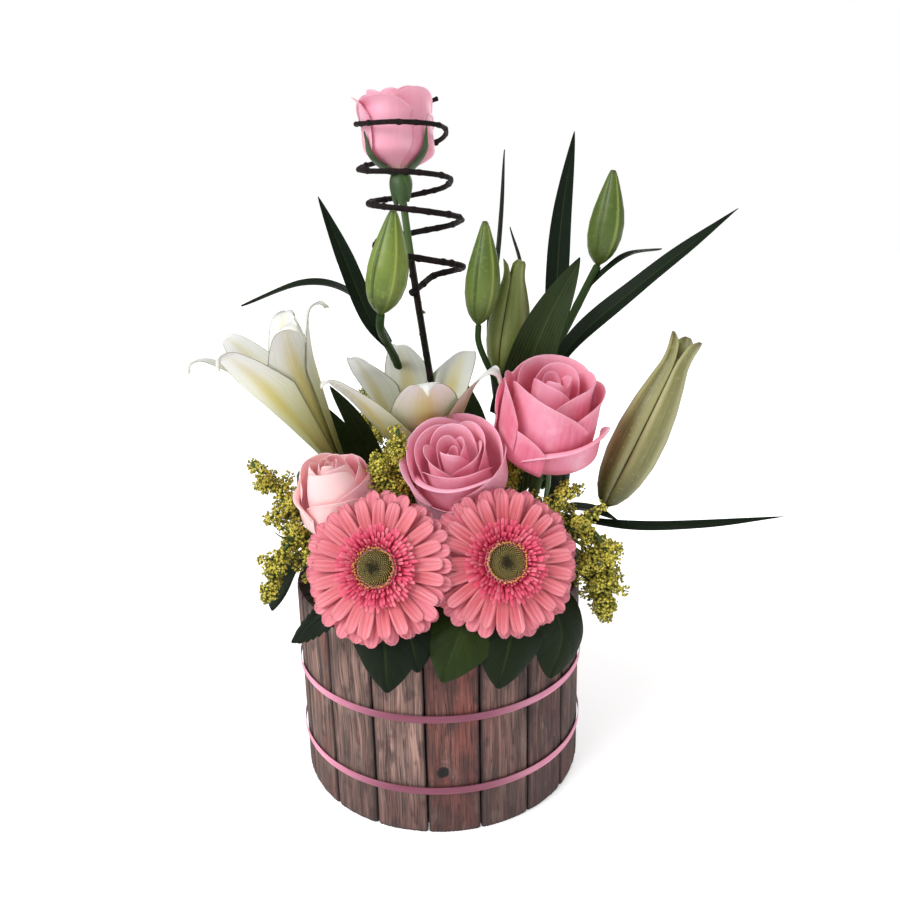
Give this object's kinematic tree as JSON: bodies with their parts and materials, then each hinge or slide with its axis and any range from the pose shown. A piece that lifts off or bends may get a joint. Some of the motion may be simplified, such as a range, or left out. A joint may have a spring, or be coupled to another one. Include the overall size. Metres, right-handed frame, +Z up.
{
  "type": "flower basket arrangement",
  "caption": "Round wooden tub with ribbon bands holding a mixed arrangement of roses, gerberas, lilies, buds, goldenrod and leaves, with one tall rose inside a coiled twig.",
  "frame": {"origin": "centre of the tub's underside, on the surface that it stands on", "axes": "+Z up, -Y towards the front with the two gerberas, +X to the right seen from the front"},
  "size_m": [0.3675, 0.2298, 0.4376],
  "materials": {
    "stave_wood": "weathered pinkish grey-brown boards with fine grain, matt",
    "floor_board": "plain board, matt",
    "liner_plastic": "thin dark green liner, satin",
    "wet_foam": "wet open-cell floral foam, matt",
    "satin_ribbon": "satin ribbon with a soft sheen",
    "twig_bark": "dark knobbly bark, matt",
    "rose_petal": "velvety petals, pale at the edges",
    "rose_petal_pale": "velvety pale pink petals",
    "stem_green": "smooth green stem",
    "gerbera_ray": "salmon pink rays, finely grooved",
    "gerbera_eye": "deep pink frill round an olive disc",
    "lily_petal": "waxy white petals with cream ribs",
    "bud_green": "closed green bud with darker seams, satin",
    "bud_cream": "cream and olive bud with darker seams, satin",
    "leaf_dark": "long dark green leaf with parallel veins, satin",
    "leaf_broad": "broad leathery dark green leaf, satin",
    "goldenrod_floret": "olive yellow florets, matt"
  },
  "bodies": {
    "root": {"stave_01": "stave_wood", "stave_02": "stave_wood", "stave_03": "stave_wood", "stave_04": "stave_wood", "stave_05": "stave_wood", "stave_06": "stave_wood", "stave_07": "stave_wood", "stave_08": "stave_wood", "stave_09": "stave_wood", "stave_10": "stave_wood", "stave_11": "stave_wood", "stave_12": "stave_wood", "stave_13": "stave_wood", "stave_14": "stave_wood", "stave_15": "stave_wood", "stave_16": "stave_wood", "stave_17": "stave_wood", "stave_18": "stave_wood", "tub_floor": "floor_board", "liner": "liner_plastic", "floral_foam": "wet_foam", "ribbon_lower": "satin_ribbon", "ribbon_upper": "satin_ribbon", "twig_coil": "twig_bark", "rose_top_bloom": "rose_petal", "rose_centre_bloom": "rose_petal", "rose_right_bloom": "rose_petal", "rose_left_bloom": "rose_petal_pale", "rose_top_stem": "stem_green", "rose_centre_stem": "stem_green", "rose_right_stem": "stem_green", "rose_left_stem": "stem_green", "gerbera_left_rays": "gerbera_ray", "gerbera_left_eye": "gerbera_eye", "gerbera_left_stem": "stem_green", "gerbera_right_rays": "gerbera_ray", "gerbera_right_eye": "gerbera_eye", "gerbera_right_stem": "stem_green", "lily_left_bloom": "lily_petal", "lily_centre_bloom": "lily_petal", "lily_bud_1": "bud_green", "lily_bud_2": "bud_green", "lily_bud_4": "bud_green", "lily_bud_3": "bud_cream", "lily_bud_5": "bud_cream", "lily_left_stem": "leaf_dark", "lily_middle_stem": "leaf_dark", "lily_right_stem": "leaf_dark", "broadleaf_front_left": "leaf_broad", "broadleaf_front_right": "leaf_broad", "broadleaf_left": "leaf_broad", "broadleaf_right": "leaf_broad", "broadleaf_back_left": "leaf_broad", "broadleaf_back_right": "leaf_broad", "goldenrod_left": "goldenrod_floret", "goldenrod_low_left": "goldenrod_floret", "goldenrod_centre": "goldenrod_floret", "goldenrod_inner_right": "goldenrod_floret", "goldenrod_right": "goldenrod_floret", "goldenrod_back": "goldenrod_floret"}
  },
  "joints": []
}
